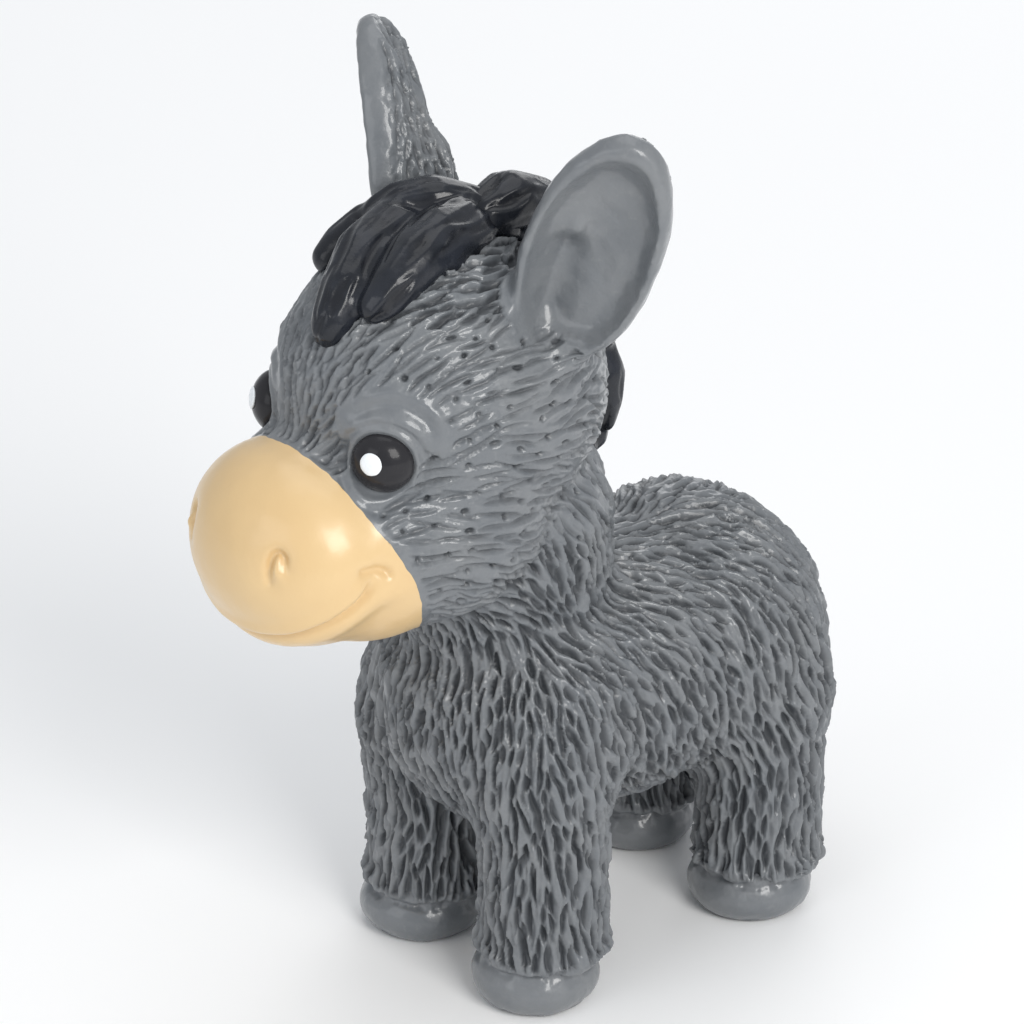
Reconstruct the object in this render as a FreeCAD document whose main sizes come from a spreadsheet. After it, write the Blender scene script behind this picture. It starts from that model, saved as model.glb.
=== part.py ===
"""A standing toy donkey: a hollow moulded latex squeak toy.

One latex skin makes the torso, legs, hooves, neck, head, ears and tail. Coloured latex covers the muzzle,
the forelock, the mane, the tail's tuft and the eyes. A plastic squeaker plugs a collar in the belly.
The donkey looks along -Y, its left side is +X, and it stands on z = 0. Millimetres and degrees.
"""
import FreeCAD, Part
import os
import re
from math import asin, pi

import Sketcher
from FreeCAD import Vector

# ---------------------------------------------------------------- driving dimensions

SIZES = {
    # latex: the skin's wall, and the coloured coat over the muzzle
    "wall": 1.8, "coat": 0.5,
    # torso, as three ovals: half sizes, and places fore or back of the legs' middle
    "body_lift": 45.5,
    "chest_wide": 24.5, "chest_long": 20.0, "chest_tall": 22.0, "chest_fore": 16.0,
    "waist_wide": 23.5, "waist_long": 27.0, "waist_tall": 22.4, "waist_back": 3.0,
    "rump_wide": 25.0, "rump_long": 22.0, "rump_tall": 23.6, "rump_back": 19.8,
    # legs, and the hooves below them
    "leg_round": 10.5, "leg_track": 14.3, "front_leg_fore": 20.8, "rear_leg_back": 24.2,
    "haunch_wide": 11.3, "haunch_long": 12.2, "haunch_tall": 19.0, "haunch_lift": 38.0,
    "hoof_round": 10.2, "hoof_middle": 3.6, "hoof_half": 6.0, "hoof_toe": 1.5, "leg_foot": 7.2,
    # neck and head: the cheek, jowl and nose are placed from the skull's middle
    "neck_wide": 17.0, "neck_long": 18.5, "neck_half": 25.0, "neck_fore": 17.8, "neck_rise": 27.0,
    "skull_wide": 23.5, "skull_long": 26.5, "skull_tall": 25.5, "skull_fore": 29.3, "skull_rise": 57.0,
    "cheek_wide": 22.8, "cheek_long": 22.0, "cheek_tall": 20.0, "cheek_fore": 6.5, "cheek_drop": 15.5,
    "jowl_wide": 20.4, "jowl_long": 18.0, "jowl_tall": 17.6, "jowl_fore": 17.5, "jowl_drop": 17.5,
    "nose_wide": 18.3, "nose_long": 15.0, "nose_tall": 15.8, "nose_fore": 27.2, "nose_drop": 17.2,
    "mask_lean": 25.0, "mask_fore": 28.0, "mask_drop": 3.0,
    # ears: an oval with a thick root behind and a dish in front, then leaned out, tipped back and turned
    "ear_wide": 10.2, "ear_thick": 7.2, "ear_half": 21.0, "dish_share": 0.84, "dish_deep": 4.2,
    "root_wide": 8.0, "root_thick": 7.5, "root_half": 14.0, "root_back": 3.4, "root_drop": 8.0,
    "ear_lean": 20.0, "ear_tip_back": 8.0, "ear_turn": 38.0,
    "ear_out": 24.4, "ear_back": 9.0, "ear_rise": 27.5,
    # eyes: balls sunk in the skull, placed by two angles on it, each with a white glint
    "eye_ball": 5.0, "eye_sink": 1.4, "eye_side": 35.0, "eye_up": -3.0,
    "glint_round": 1.9, "glint_side": 28.0, "glint_up": 4.0, "glint_stand": 0.25,
    # forelock: a crown, and three locks down the forehead, placed by angles on the skull
    "crown_wide": 12.5, "crown_long": 12.5, "crown_tall": 7.5, "crown_up": 78.0,
    "lock_round": 4.2, "lock_half": 11.0, "lock_up": 54.0, "lock_lean": 34.0, "lock_side": 1.0,
    "lock_spread": 39.0,
    # mane: lumps down the nape, placed by angles on the skull and standing off it more and more
    "mane_round": 6.4, "mane_half": 9.0, "mane_first": 108.0, "mane_step": 26.0, "mane_share": 0.97,
    "mane_spread": 0.007,
    # tail and its tuft, down the back of the rump
    "tail_round": 3.2, "tail_half": 13.0, "tail_lean": 16.0, "tail_lift": 1.0, "tail_sink": 0.4,
    "tuft_round": 4.2, "tuft_half": 8.0, "tuft_drop": 12.0, "tuft_stand": 0.4,
    # squeaker in the belly: a cup held by a flange and a rib on each side of the collar, with a cap
    "plug_round": 6.0, "plug_wall": 0.9, "plug_long": 11.0, "flange_round": 8.0, "flange_thick": 1.2,
    "collar_round": 9.6, "collar_thick": 3.0, "belly_flat": 0.6, "rib_stand": 0.9, "rib_thick": 1.2,
    "cap_thick": 1.2, "cap_hole": 0.7, "cap_ring": 3.0, "fit_gap": 0.05,
    # reed block, reed and wedge in the cup's top
    "block_round": 2.6, "block_long": 7.6, "facing_gap": 0.6, "clamp_gap": 0.25, "clamp_long": 2.0,
    "air_half": 1.0, "air_deep": 1.3, "reed_half": 1.6, "reed_thick": 0.2, "reed_long": 7.0,
}
MANE_LUMPS = 5
CAP_HOLES = 6

doc = FreeCAD.newDocument("toy_donkey")
sheet = doc.addObject("Spreadsheet::Sheet", "Sizes")
for row, (name, value) in enumerate(SIZES.items(), start=1):
    sheet.set(f"A{row}", name)
    sheet.set(f"B{row}", str(value))
    sheet.setAlias(f"B{row}", name)
probe = doc.addObject("Part::Vertex", "probe")
doc.recompute()


# ---------------------------------------------------------------- helpers

def named(formula):
    """The formula with each size's name made a reference to the sheet's cell."""
    return re.sub(r"[a-z_]+", lambda word: f"Sizes.{word[0]}" if word[0] in SIZES else word[0], formula)


def bind(thing, prop, formula):
    """Ties a property to a formula on the sheet's cells, such as "skull_wide - wall"."""
    thing.setExpression(prop, named(formula))


def number(formula):
    """The present value of a formula, worked out by a point that lies at it. It starts a sketch's lines."""
    bind(probe, "X", formula)
    probe.recompute()
    return probe.X.Value


def put(thing, at):
    """Ties a thing's place to three formulas."""
    for axis, formula in zip("xyz", at):
        bind(thing, f"Placement.Base.{axis}", formula)
    return thing


def put_turned(thing, at, *turns):
    """Ties a thing's place to three formulas, and turns it by pairs of axis and angle, the last one first."""
    spins = " * ".join(f"rotation(vector({axis}); {angle})" for axis, angle in turns)
    bind(thing, "Placement", f"placement(vector({'; '.join(at)}); {spins})")
    return thing


def oval(name, at, half, lean=None):
    """An oval solid: its middle and half sizes along X, Y and Z are formulas, and lean tips it about X."""
    made = doc.addObject("Part::Ellipsoid", name)
    made.Angle1, made.Angle2, made.Angle3 = -90, 90, 360
    for prop, formula in zip(("Radius2", "Radius3", "Radius1"), half):
        bind(made, prop, formula)
    return put_turned(made, at, ("1; 0; 0", lean)) if lean else put(made, at)


def left_oval(name, at, half, lean="0"):
    """The left half of an oval whose middle is in the donkey's middle plane."""
    made = doc.addObject("Part::Ellipsoid", name)
    made.Angle1, made.Angle2, made.Angle3 = -90, 90, 180
    for prop, formula in zip(("Radius3", "Radius2", "Radius1"), half):
        bind(made, prop, formula)
    return put_turned(made, at, ("1; 0; 0", lean), ("0; 0; 1", "-90"))


def rod(name, at, radius, height):
    """An upright cylinder that starts at its place."""
    made = doc.addObject("Part::Cylinder", name)
    bind(made, "Radius", radius)
    bind(made, "Height", height)
    return put(made, at)


def block(name, size):
    """A box from its lowest corner."""
    made = doc.addObject("Part::Box", name)
    for prop, formula in zip(("Length", "Width", "Height"), size):
        bind(made, prop, formula)
    return made


def fuse(name, pieces):
    """Joins pieces one after another, which the kernel does more surely than all at once."""
    joined = pieces[0]
    for count, piece in enumerate(pieces[1:], start=1):
        step = doc.addObject("Part::Fuse", f"{name}_{count}")
        step.Base, step.Tool = joined, piece
        joined = step
    return joined


def cut(name, base, *tools):
    """Takes each tool from the base in turn."""
    left = base
    for count, tool in enumerate(tools, start=1):
        step = doc.addObject("Part::Cut", name if count == len(tools) else f"{name}_{count}")
        step.Base, step.Tool = left, tool
        left = step
    return left


def common(name, base, tool):
    """What two solids share."""
    made = doc.addObject("Part::Common", name)
    made.Base, made.Tool = base, tool
    return made


def mirrored(name, source):
    """The same piece on the donkey's right side."""
    made = doc.addObject("Part::Mirroring", name)
    made.Source, made.Normal = source, Vector(1, 0, 0)
    return made


def less(formulas, amount):
    """Half sizes made smaller by a formula."""
    return [f"({formula}) - ({amount})" for formula in formulas]


# ---------------------------------------------------------------- places

# The origin is on the ground under the middle of the bounding box, from the nose to the tail's tuft.
NOSE_REACH = "(skull_fore + nose_fore + nose_long + coat)"
TUFT_REACH = "(rump_back + rump_long + tuft_stand + tuft_round)"
MIDDLE = f"({NOSE_REACH} - {TUFT_REACH}) / 2"


def fore(formula):
    """The Y of a place that far in front of the legs' middle."""
    return f"{MIDDLE} - ({formula})"


def aft(formula):
    """The Y of a place that far behind the legs' middle."""
    return f"{MIDDLE} + ({formula})"


CHEST = ("0", fore("chest_fore"), "body_lift")
WAIST = ("0", aft("waist_back"), "body_lift")
RUMP = ("0", aft("rump_back"), "body_lift")
NECK = ("0", fore("neck_fore"), "body_lift + neck_rise")
SKULL = ("0", fore("skull_fore"), "body_lift + skull_rise")
CHEEK = ("0", fore("skull_fore + cheek_fore"), "body_lift + skull_rise - cheek_drop")
JOWL = ("0", fore("skull_fore + jowl_fore"), "body_lift + skull_rise - jowl_drop")
NOSE = ("0", fore("skull_fore + nose_fore"), "body_lift + skull_rise - nose_drop")

HEAD_OVALS = {
    "skull": (SKULL, ("skull_wide", "skull_long", "skull_tall")),
    "cheek": (CHEEK, ("cheek_wide", "cheek_long", "cheek_tall")),
    "jowl": (JOWL, ("jowl_wide", "jowl_long", "jowl_tall")),
    "nose": (NOSE, ("nose_wide", "nose_long", "nose_tall")),
}
BODY_OVALS = {
    "chest": (CHEST, ("chest_wide", "chest_long", "chest_tall")),
    "waist": (WAIST, ("waist_wide", "waist_long", "waist_tall")),
    "rump": (RUMP, ("rump_wide", "rump_long", "rump_tall")),
    "neck": (NECK, ("neck_wide", "neck_long", "neck_half")),
}
LEG_ENDS = {"front": fore("front_leg_fore"), "rear": aft("rear_leg_back")}
TAIL = ("0", f"{RUMP[1]} + rump_long - tail_sink", "body_lift + tail_lift")
TUFT = ("0", f"{RUMP[1]} + rump_long + tuft_stand", "body_lift + tail_lift - tuft_drop")

# The squeaker stands in the middle of the waist, its mouth at the bottom of the belly.
PLUG = (WAIST[0], WAIST[1], "body_lift - waist_tall + belly_flat")
RIB_LOW = "flange_thick + collar_thick + fit_gap"


def on_skull(side, up, share="1"):
    """A place on the skull: side turns it from the nose to the left, up lifts it, share scales its radius."""
    return (
        f"({share}) * skull_wide * sin({side}) * cos({up})",
        f"{SKULL[1]} - ({share}) * skull_long * cos({side}) * cos({up})",
        f"{SKULL[2]} + ({share}) * skull_tall * sin({up})",
    )


# ---------------------------------------------------------------- latex skin

def left_ovals(name, places, amount):
    """The left half of each oval of a group, smaller by a formula all over."""
    return [left_oval(f"{name}_{part}", at, less(half, amount)) for part, (at, half) in places.items()]


def left_legs(name, foot, radius):
    """Two upright legs, from a height up into the torso."""
    return [
        rod(f"{name}_{end}_leg", ("leg_track", y, foot), radius, f"haunch_lift - ({foot})")
        for end, y in LEG_ENDS.items()
    ]


def left_haunches():
    """A rounded shoulder and haunch over the tops of the legs."""
    half = ("haunch_wide", "haunch_long", "haunch_tall")
    return [oval(f"{end}_haunch", ("leg_track", y, "haunch_lift"), half) for end, y in LEG_ENDS.items()]


def left_hooves():
    """Two round hooves, each a little forward of its leg."""
    half = ("hoof_round", "hoof_round", "hoof_half")
    return [
        oval(f"{end}_hoof", ("leg_track", f"{y} - hoof_toe", "hoof_middle"), half) for end, y in LEG_ENDS.items()
    ]


def ear():
    """The left ear: an oval with a thick root behind it, hollowed to a dish at the front."""
    blade = oval("ear_blade", ("0", "0", "0"), ("ear_wide", "ear_thick", "ear_half"))
    root = oval("ear_root", ("0", "root_back", "-root_drop"), ("root_wide", "root_thick", "root_half"))
    dish_half = [f"{size} * dish_share" for size in ("ear_wide", "ear_thick", "ear_half")]
    dish = oval("ear_dish", ("0", "-dish_deep", "0"), dish_half)
    made = cut("left_ear", fuse("ear_mass", [blade, root]), dish)
    return put_turned(made, ("ear_out", f"{SKULL[1]} + ear_back", f"{SKULL[2]} + ear_rise"),
                      ("0; 1; 0", "ear_lean"), ("1; 0; 0", "-ear_tip_back"), ("0; 0; 1", "ear_turn"))


def left_half():
    """The left half of the donkey's outside, solid, flat under its hooves."""
    tail = left_oval("left_tail", TAIL, ("tail_round", "tail_round", "tail_half"), "tail_lean")
    masses = (left_ovals("outer", BODY_OVALS, "0") + left_ovals("outer", HEAD_OVALS, "0") + left_haunches()
              + left_legs("outer", "leg_foot", "leg_round") + left_hooves() + [ear(), tail])
    ground_size = ("4 * chest_wide", f"2 * ({NOSE_REACH} + {TUFT_REACH})", "hoof_half")
    ground = put(block("ground", ground_size), ("-2 * chest_wide", f"-({NOSE_REACH} + {TUFT_REACH})", "-hoof_half"))
    return cut("left_half", fuse("left_outside", masses), ground)


def left_skin_of(half):
    """The left half with its inside taken out, and a thick collar round the squeaker's hole."""
    inside = fuse("left_inside", left_ovals("inner", BODY_OVALS, "wall") + left_ovals("inner", HEAD_OVALS, "wall")
                  + left_legs("inner", "leg_foot + wall", "leg_round - wall"))
    collar = rod("collar", PLUG, "collar_round", "flange_thick + collar_thick")
    collar.Angle = 180
    put_turned(collar, PLUG, ("0; 0; 1", "-90"))
    under = (PLUG[0], PLUG[1], f"{PLUG[2]} - waist_tall")
    hole = rod("plug_hole", under, "plug_round + fit_gap", "2 * waist_tall")
    seat = rod("flange_seat", under, "flange_round + fit_gap", "waist_tall + flange_thick + fit_gap")
    return cut("left_skin", fuse("collared", [cut("hollow_half", half, inside), collar]), hole, seat)


def both(name, left):
    """A left half joined to its mirror image."""
    made = doc.addObject("Part::Fuse", name)
    made.Base, made.Tool = left, mirrored(f"{name}_mirrored", left)
    return made


# ---------------------------------------------------------------- coloured latex

def left_coat_on(half):
    """The head's left half a coat larger, in front of an edge that runs down and back to the jaw."""
    head = fuse("coat_head", left_ovals("coat", HEAD_OVALS, "-coat"))
    front = block("coat_front", ("4 * skull_wide", "3 * skull_long", "4 * skull_tall"))
    # The block is turned over, so that its near face is the edge, and slid along that face by half its height.
    slide = "2 * skull_tall"
    at = ("-2 * skull_wide",
          f"{fore('skull_fore + mask_fore')} - {slide} * sin(mask_lean)",
          f"{SKULL[2]} - mask_drop + {slide} * cos(mask_lean)")
    put_turned(front, at, ("1; 0; 0", "180 + mask_lean"))
    return cut("left_coat", common("coat_mass", head, front), half)


def left_eye_on(half):
    """A ball sunk in the skull, and the white glint on it, which stands a little proud of the ball."""
    at = on_skull("eye_side", "eye_up", "1 - eye_sink / skull_long")
    ball = oval("eye_ball_solid", at, ("eye_ball",) * 3)
    proud = oval("eye_proud", at, ("eye_ball + glint_stand",) * 3)
    spot_at = (
        f"{at[0]} + eye_ball * sin(glint_side) * cos(glint_up)",
        f"{at[1]} - eye_ball * cos(glint_side) * cos(glint_up)",
        f"{at[2]} + eye_ball * sin(glint_up)",
    )
    spot = oval("glint_spot", spot_at, ("glint_round",) * 3)
    return cut("left_eye", ball, half), cut("left_glint", common("glint_mass", proud, spot), ball)


def forelock_mass():
    """A round crown between the ears, and three locks that lie down the forehead."""
    made = [oval("crown", on_skull("0", "crown_up", "0.98"), ("crown_wide", "crown_long", "crown_tall"))]
    for name, turns in (("right", -1), ("middle", 0), ("left", 1)):
        at = on_skull(f"(lock_side + {turns} * lock_spread)", "lock_up", "1.02")
        made.append(oval(f"{name}_lock", at, ("lock_round", "lock_round", "lock_half"), lean="-lock_lean"))
    return fuse("forelock_mass", made)


def mane_mass():
    """Lumps over the back of the skull and down the nape, each along the skull under it."""
    made = []
    for count in range(MANE_LUMPS):
        angle = f"(mane_first + {count} * mane_step)"
        at = on_skull("0", angle, f"mane_share + mane_spread * {count * count}")
        half = ("mane_round", "mane_round", "mane_half")
        made.append(oval(f"mane_lump_{count + 1}", at, half, lean=f"(180 - {angle})"))
    return fuse("mane_mass", made)


# ---------------------------------------------------------------- squeaker, drawn from its mouth up

def plug_body(name):
    """A body whose own origin is the middle of the squeaker's mouth."""
    return put(doc.addObject("PartDesign::Body", name), PLUG)


def sketch(body, name, plane, lift="0"):
    """An empty sketch on one of the body's origin planes, raised off it by a formula."""
    made = body.newObject("Sketcher::SketchObject", name)
    base = next(each for each in body.Origin.OriginFeatures if each.Role == plane)
    made.AttachmentSupport, made.MapMode = [(base, "")], "FlatFace"
    bind(made, "AttachmentOffset.Base.z", lift)
    return made


def tie(drawn, kind, formula, *points):
    """A dimension of a sketch, tied to a formula."""
    count = drawn.addConstraint(Sketcher.Constraint(kind, *points, number(formula)))
    bind(drawn, f"Constraints[{count}]", formula)


def outline(drawn, corners):
    """Straight lines from corner to corner and back, each corner tied to two formulas."""
    spots = [Vector(number(across), number(along), 0) for across, along in corners]
    for start, end in zip(spots, spots[1:] + spots[:1]):
        drawn.addGeometry(Part.LineSegment(start, end))
    for line, (across, along) in enumerate(corners):
        drawn.addConstraint(Sketcher.Constraint("Coincident", line, 2, (line + 1) % len(corners), 1))
        tie(drawn, "DistanceX", across, -1, 1, line, 1)
        tie(drawn, "DistanceY", along, -1, 1, line, 1)
    return drawn


def rectangle(drawn, half_across, low, high):
    """A rectangle about the sketch's upright axis, between two heights."""
    return outline(drawn, [(f"-({half_across})", low), (half_across, low), (half_across, high),
                           (f"-({half_across})", high)])


def ring(drawn, radius, out="0"):
    """A circle, its middle a formula away from the sketch's own along the level axis."""
    drawn.addGeometry(Part.Circle(Vector(number(out), 0, 0), Vector(0, 0, 1), number(radius)))
    tie(drawn, "DistanceX", out, -1, 1, 0, 3)
    tie(drawn, "DistanceY", "0", -1, 1, 0, 3)
    tie(drawn, "Radius", radius, 0)
    return drawn


def half_round(drawn, radius, gap, side):
    """A round cut off by a level chord: side 1 keeps what is above the chord, and -1 what is below it."""
    rise = asin(number(gap) / number(radius))
    start, end = (rise, pi - rise) if side > 0 else (pi + rise, 2 * pi - rise)
    arc = Part.ArcOfCircle(Part.Circle(Vector(), Vector(0, 0, 1), number(radius)), start, end)
    drawn.addGeometry(arc)
    drawn.addGeometry(Part.LineSegment(arc.EndPoint, arc.StartPoint))
    for joint in ((0, 3, -1, 1), (0, 2, 1, 1), (1, 2, 0, 1)):
        drawn.addConstraint(Sketcher.Constraint("Coincident", *joint))
    drawn.addConstraint(Sketcher.Constraint("Horizontal", 1))
    tie(drawn, "Radius", radius, 0)
    tie(drawn, "DistanceY", f"{side} * ({gap})", -1, 1, 1, 1)
    return drawn


def pad(body, name, profile, length):
    """Raises a sketch along its normal."""
    made = body.newObject("PartDesign::Pad", name)
    made.Profile = profile
    bind(made, "Length", length)
    return made


def pocket_up(body, name, profile, length):
    """Cuts a sketch upwards, into what stands on its plane."""
    made = body.newObject("PartDesign::Pocket", name)
    made.Profile, made.Reversed = profile, True
    bind(made, "Length", length)
    return made


def squeaker_cup():
    """A cup turned mouth down: its flange and its snap rib hold the collar between them."""
    body = plug_body("squeaker_cup")
    bore, seat, top = "plug_round - plug_wall", "block_round + fit_gap", "plug_long - plug_wall"
    profile = outline(sketch(body, "cup_profile", "XZ_Plane"), [
        (bore, "0"), ("flange_round", "0"), ("flange_round", "flange_thick"), ("plug_round", "flange_thick"),
        ("plug_round", RIB_LOW), ("plug_round + rib_stand", RIB_LOW), ("plug_round", f"{RIB_LOW} + rib_thick"),
        ("plug_round", "plug_long"), (seat, "plug_long"), (seat, top), (bore, top),
    ])
    made = body.newObject("PartDesign::Revolution", "cup_turned")
    made.Profile, made.ReferenceAxis, made.Angle = profile, (profile, ["V_Axis"]), 360
    return body


def squeaker_cap():
    """A disc in the cup's mouth, with a hole in its middle and a ring of holes round it."""
    body = plug_body("squeaker_cap")
    pad(body, "cap_disc", ring(sketch(body, "cap_outline", "XY_Plane"), "plug_round - plug_wall - fit_gap"),
        "cap_thick")
    pocket_up(body, "middle_hole", ring(sketch(body, "middle_circle", "XY_Plane"), "cap_hole"), "cap_thick")
    hole = pocket_up(body, "ring_hole", ring(sketch(body, "ring_circle", "XY_Plane"), "cap_hole", "cap_ring"),
                     "cap_thick")
    pattern = body.newObject("PartDesign::PolarPattern", "ring_holes")
    pattern.Originals, pattern.Occurrences, pattern.Angle = [hole], CAP_HOLES, 360
    pattern.Axis = (next(each for each in body.Origin.OriginFeatures if each.Role == "Z_Axis"), [""])
    body.Tip = pattern
    return body


def reed_block():
    """A half round that hangs in the cup's top, with a relieved facing and an air groove behind the reed."""
    body = plug_body("reed_block")
    foot = "plug_long - block_long"
    pad(body, "block_mass", half_round(sketch(body, "block_outline", "XY_Plane", foot), "block_round", "clamp_gap", -1),
        "block_long")
    pocket_up(body, "facing", rectangle(sketch(body, "facing_outline", "XY_Plane", foot), "block_round",
                                        "-facing_gap", "0"), "block_long - clamp_long")
    pocket_up(body, "air_groove", rectangle(sketch(body, "groove_outline", "XY_Plane", foot), "air_half",
                                            "-clamp_gap - air_deep", "0"), "block_long")
    return body


def reed():
    """A thin springy tongue, held at its top."""
    body = plug_body("reed")
    strip = rectangle(sketch(body, "reed_outline", "XY_Plane", "plug_long - reed_long"), "reed_half",
                      "-reed_thick / 2", "reed_thick / 2")
    pad(body, "reed_strip", strip, "reed_long")
    return body


def reed_wedge():
    """The other half of the round, which holds the reed's top against the block."""
    body = plug_body("reed_wedge")
    outline_above = half_round(sketch(body, "wedge_outline", "XY_Plane", "plug_long - clamp_long"), "block_round",
                               "clamp_gap", 1)
    pad(body, "wedge_mass", outline_above, "clamp_long")
    return body


# ---------------------------------------------------------------- the donkey

half = left_half()
toy = both("whole_toy", half)
left_eye, left_glint = left_eye_on(half)
lying_hair = forelock_mass()
tuft = oval("tuft_mass", TUFT, ("tuft_round", "tuft_round", "tuft_half"))
parts = [
    both("skin", left_skin_of(half)), both("muzzle_coat", left_coat_on(half)),
    left_eye, left_glint, mirrored("right_eye", left_eye), mirrored("right_glint", left_glint),
    cut("forelock", lying_hair, toy), cut("mane", mane_mass(), toy, lying_hair), cut("tail_tuft", tuft, toy),
    squeaker_cup(), squeaker_cap(), reed_block(), reed(), reed_wedge(),
]
doc.recompute()
doc.removeObject(probe.Name)

for each in doc.Objects:
    if {"Invalid", "Error"} & set(each.State):
        raise RuntimeError(f"{each.Name} did not build: {each.State}")
os.makedirs("parts", exist_ok=True)
for part in parts:
    part.Label = part.Name
    shape = part.Shape
    if shape.isNull() or not shape.isValid() or not shape.Solids:
        raise RuntimeError(f"{part.Label} is not a sound solid")
for part in parts:
    part.Shape.exportStep(f"parts/{part.Label}.step")
    print(f"{part.Label}: {len(part.Shape.Solids)} solid, {part.Shape.Volume:.1f} mm3")
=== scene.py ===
"""The looks of a hollow latex squeak toy, a small standing donkey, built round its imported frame.

The carved coat is one form: melted from the frame's skin, sculpted, combed with cuts, and then parted
into the pieces of the coat. Sizes are in millimetres unless a comment says otherwise.
"""

import math
from collections import namedtuple
from contextlib import contextmanager
from itertools import product

import bmesh
import bpy
import numpy as np
from mathutils import Matrix, Vector, kdtree


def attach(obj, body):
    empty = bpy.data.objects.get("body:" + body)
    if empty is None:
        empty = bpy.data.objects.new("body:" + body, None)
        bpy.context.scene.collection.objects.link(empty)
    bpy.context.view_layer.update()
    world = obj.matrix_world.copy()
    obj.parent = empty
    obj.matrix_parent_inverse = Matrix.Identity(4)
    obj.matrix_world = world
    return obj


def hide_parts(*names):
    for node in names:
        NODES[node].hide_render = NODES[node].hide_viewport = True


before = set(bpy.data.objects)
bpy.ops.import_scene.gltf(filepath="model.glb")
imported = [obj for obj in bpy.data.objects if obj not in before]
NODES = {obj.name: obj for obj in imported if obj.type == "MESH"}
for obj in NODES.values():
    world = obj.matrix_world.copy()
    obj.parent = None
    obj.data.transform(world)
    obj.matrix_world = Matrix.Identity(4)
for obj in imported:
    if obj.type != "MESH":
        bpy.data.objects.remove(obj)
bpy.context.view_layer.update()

MM = 0.001
TOY = "toy"


# ---------------------------------------------------------------- camera, lights and floor

CAMERA_AT, CAMERA_AIM = (546.1, -445.4, 433.2), (-8.2, 4.0, 71.2)
LENS, SENSOR = 180, 36
# name, place and width in metres, power in watts, colour
LIGHTS = (
    ("key", (0.80, -0.12, 0.60), 0.45, 5.6, (1.0, 0.985, 0.96)),
    ("front", (0.05, -0.95, 0.45), 0.6, 1.35, (0.97, 0.985, 1.0)),
    ("top", (-0.15, 0.15, 1.0), 0.7, 1.6, (1, 1, 1)),
    ("back", (-0.6, 0.75, 0.5), 0.6, 2.0, (1, 1, 1)),
)
LIGHT_AIM = (0, 0.01, 0.07)
SKY_COLOUR, SKY_STRENGTH = (0.93, 0.96, 1.0, 1), 0.56
FLOOR_WIDTH, FLOOR_DROP = 6, 0.0002  # metres


def add_object(name, data):
    """A new object in the scene."""
    made = bpy.data.objects.new(name, data)
    bpy.context.scene.collection.objects.link(made)
    return made


def point_at(thing, place, aim):
    """Puts a camera or a light at place, turned towards aim."""
    thing.location = place
    thing.rotation_euler = (aim - place).to_track_quat("-Z", "Y").to_euler()


def add_camera():
    """The camera, above the toy's left front, with a long lens."""
    data = bpy.data.cameras.new("camera")
    data.lens, data.sensor_width = LENS, SENSOR
    data.clip_start, data.clip_end = 0.05, 20
    camera = add_object("camera", data)
    point_at(camera, Vector(CAMERA_AT) * MM, Vector(CAMERA_AIM) * MM)
    bpy.context.scene.camera = camera


def add_studio():
    """Soft square lights, a pale world and a pale floor."""
    for name, place, size, power, colour in LIGHTS:
        data = bpy.data.lights.new(name, "AREA")
        data.shape, data.size, data.energy, data.color = "SQUARE", size, power, colour
        point_at(add_object(name, data), Vector(place), Vector(LIGHT_AIM))
    world = bpy.data.worlds.new("pale_world")
    world.use_nodes = True
    sky = world.node_tree.nodes["Background"]
    sky.inputs["Color"].default_value = SKY_COLOUR
    sky.inputs["Strength"].default_value = SKY_STRENGTH
    bpy.context.scene.world = world
    bpy.context.scene.view_settings.view_transform = "Standard"
    bpy.ops.object.select_all(action="DESELECT")
    bpy.ops.mesh.primitive_plane_add(size=FLOOR_WIDTH, location=(0, 0, -FLOOR_DROP))
    floor = bpy.context.object
    floor.name = "floor"
    return floor


# ---------------------------------------------------------------- modelling helpers


def pick(*objects):
    """Selects these objects only, the first one active."""
    bpy.ops.object.select_all(action="DESELECT")
    for each in objects:
        each.select_set(True)
    bpy.context.view_layer.objects.active = objects[0]


@contextmanager
def editing(piece):
    """Edit mode, with the whole of the piece selected."""
    pick(piece)
    bpy.ops.object.mode_set(mode="EDIT")
    bpy.ops.mesh.select_all(action="SELECT")
    yield
    bpy.ops.object.mode_set(mode="OBJECT")


def apply_modifier(piece, kind, **settings):
    """Adds a modifier with these settings and applies it."""
    modifier = piece.modifiers.new(kind.lower(), kind)
    for key, value in settings.items():
        setattr(modifier, key, value)
    pick(piece)
    bpy.ops.object.modifier_apply(modifier=modifier.name)


def add_cylinder(sides, radius, depth, height):
    """An upright cylinder on the squeaker's axis, its middle at a height."""
    bpy.ops.object.select_all(action="DESELECT")
    bpy.ops.mesh.primitive_cylinder_add(
        vertices=sides, radius=radius * MM, depth=depth * MM, location=(0, SQUEAKER_Y * MM, height * MM)
    )
    return bpy.context.object


def node_copy(node, name):
    """A merged copy of a frame node's mesh, as a new object."""
    piece = add_object(name, NODES[node].data.copy())
    piece.data.materials.clear()
    with editing(piece):
        bpy.ops.mesh.remove_doubles(threshold=1e-6)
        bpy.ops.mesh.normals_make_consistent(inside=False)
    return piece


def melt_into_one(piece, name, grain):
    """Voxel remesh at a grain, keeping only the outermost shell."""
    pick(piece)
    piece.data.remesh_voxel_size = grain * MM
    piece.data.remesh_voxel_adaptivity = 0
    bpy.ops.object.voxel_remesh()
    with editing(piece):
        bpy.ops.mesh.separate(type="LOOSE")
    shells = list(bpy.context.selected_objects)
    outer = max(shells, key=lambda o: (o.dimensions.length, len(o.data.vertices)))
    for each in shells:
        if each is not outer:
            bpy.data.objects.remove(each)
    pick(outer)
    outer.name = name
    return outer


def read(items, key, kind=np.float32, width=3):
    """One property of all of a mesh's items, a row for each."""
    values = np.empty(len(items) * width, kind)
    items.foreach_get(key, values)
    return values.reshape(-1, width)


def points_of(piece):
    """Vertex places in mm."""
    return read(piece.data.vertices, "co").astype(float) / MM


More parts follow.
